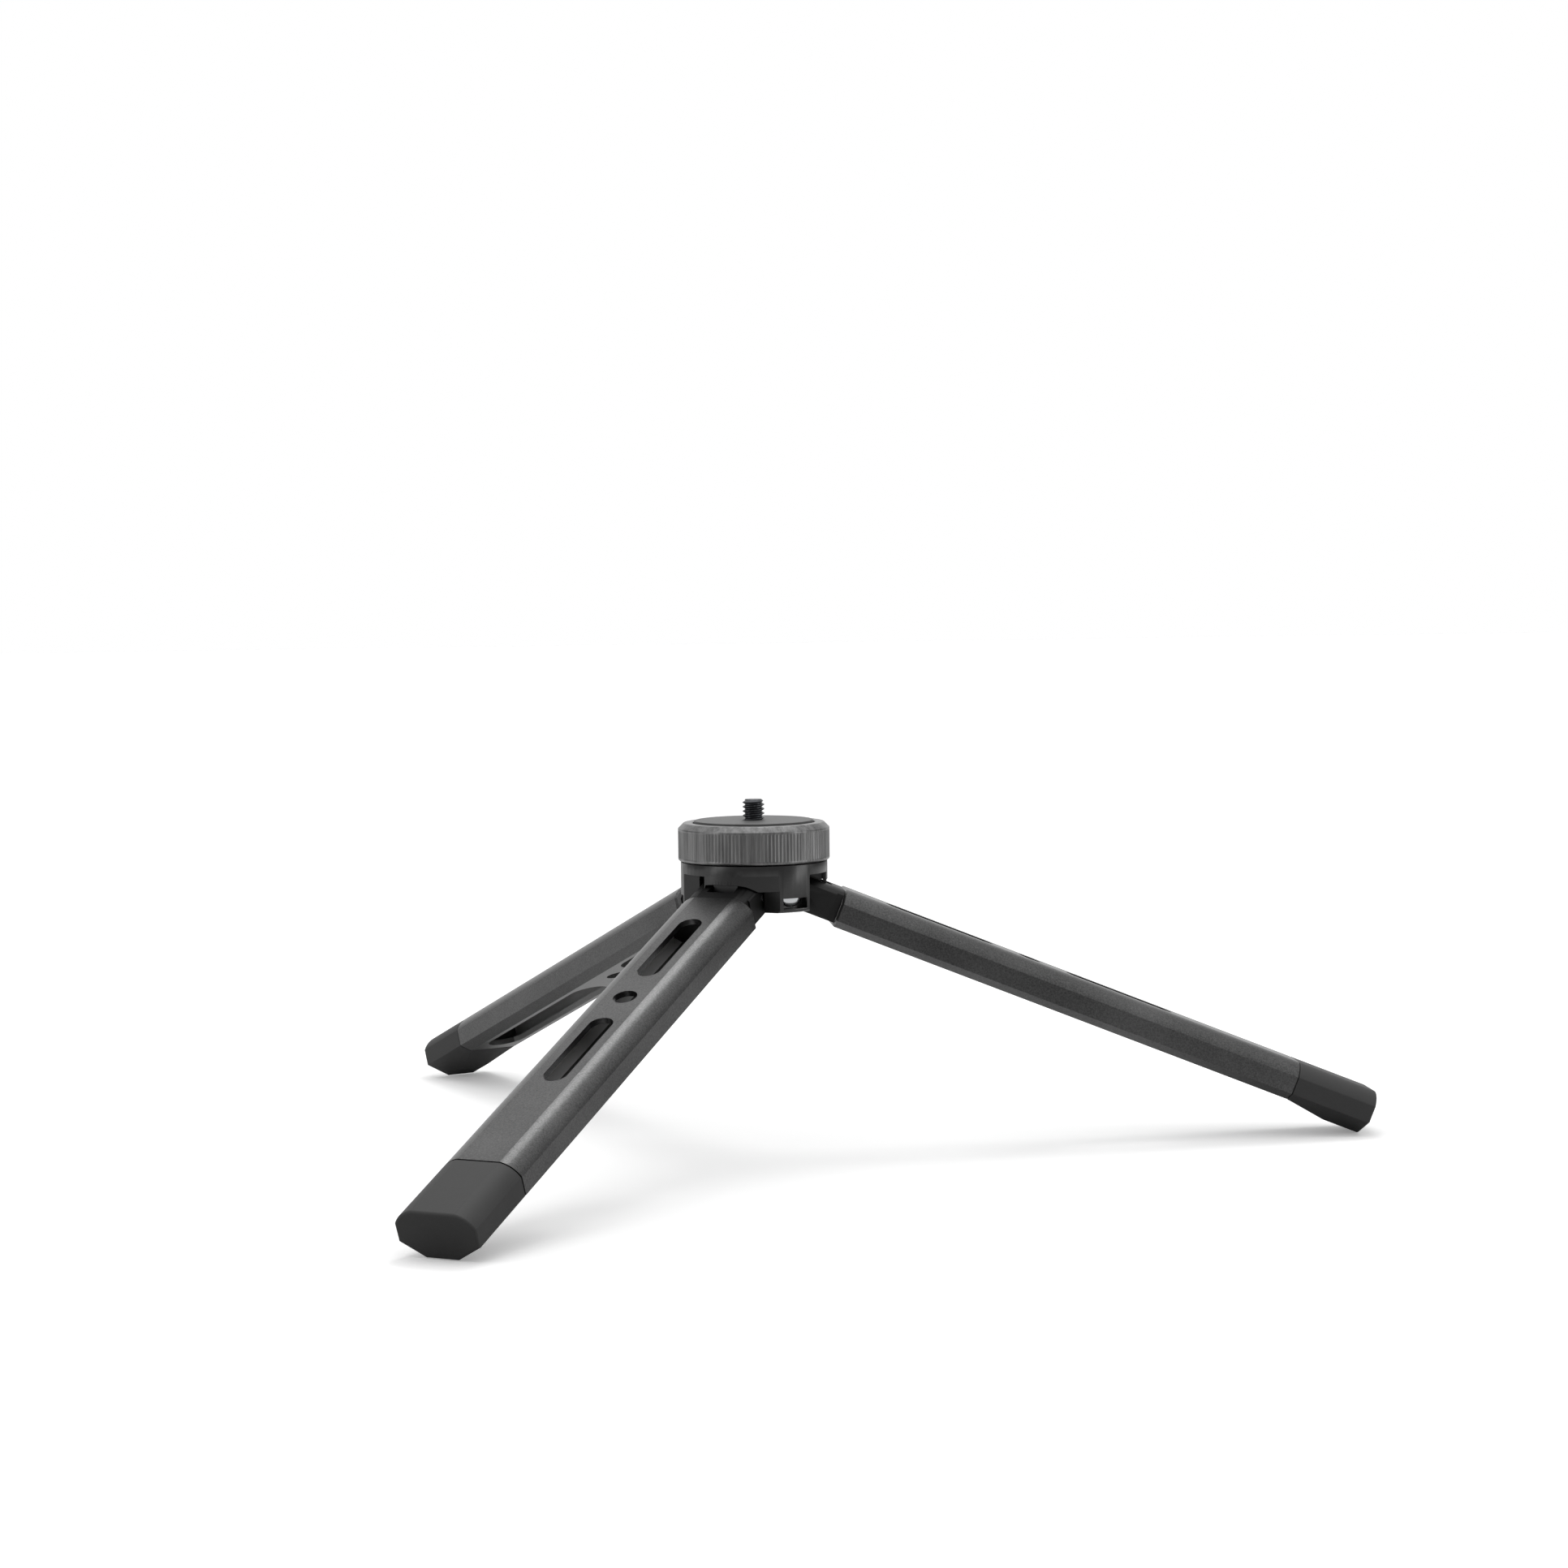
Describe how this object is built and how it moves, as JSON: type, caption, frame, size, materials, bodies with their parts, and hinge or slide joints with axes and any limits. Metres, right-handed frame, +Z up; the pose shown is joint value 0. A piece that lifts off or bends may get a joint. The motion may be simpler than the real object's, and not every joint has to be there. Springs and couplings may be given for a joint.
{
  "type": "mini tripod",
  "caption": "Desk tripod with a turning knurled head, a camera screw, and folding slotted aluminium legs with angled rubber feet.",
  "frame": {"origin": "centre of the camera screw at the top face of the pad", "axes": "+Z up along the camera screw, leg 1 spread towards +X, the other legs 120 degrees apart"},
  "size_m": [0.282, 0.3248, 0.1014],
  "materials": {
    "hub_anodised": "black anodised, satin",
    "ring_anodised": "black anodised, knurled",
    "pad_rubber": "matt",
    "dark_steel": "blackened",
    "bright_steel": "polished",
    "block_anodised": "black anodised, satin",
    "tube_anodised": "dark grey anodised, bead blasted",
    "foot_rubber": "matt moulded"
  },
  "bodies": {
    "hub": {"hub_body": "hub_anodised", "lug_screw_1": "bright_steel", "lug_screw_2": "bright_steel", "lug_screw_3": "bright_steel"},
    "head": {"knurled_ring": "ring_anodised", "top_pad": "pad_rubber", "camera_screw": "dark_steel", "central_screw": "dark_steel"},
    "leg_1": {"hinge_pin_1": "bright_steel", "leg_block_1": "block_anodised", "leg_tube_1": "tube_anodised", "foot_cap_1": "foot_rubber"},
    "leg_2": {"hinge_pin_2": "bright_steel", "leg_block_2": "block_anodised", "leg_tube_2": "tube_anodised", "foot_cap_2": "foot_rubber"},
    "leg_3": {"hinge_pin_3": "bright_steel", "leg_block_3": "block_anodised", "leg_tube_3": "tube_anodised", "foot_cap_3": "foot_rubber"}
  },
  "joints": [
    {"name": "head_spin", "type": "hinge", "parent": "hub", "child": "head", "pos_m": [0, 0, 0], "axis": [0, 0, 1], "continuous": true},
    {"name": "leg_1_fold", "type": "hinge", "parent": "hub", "child": "leg_1", "pos_m": [0.0138, 0, -0.02085], "axis": [0, 1, 0], "range_deg": [0, 68.1]},
    {"name": "leg_2_fold", "type": "hinge", "parent": "hub", "child": "leg_2", "pos_m": [-0.0069, 0.01195, -0.02085], "axis": [-0.866, -0.5, 0], "range_deg": [0, 68.1]},
    {"name": "leg_3_fold", "type": "hinge", "parent": "hub", "child": "leg_3", "pos_m": [-0.0069, -0.01195, -0.02085], "axis": [0.866, -0.5, 0], "range_deg": [0, 68.1]}
  ]
}
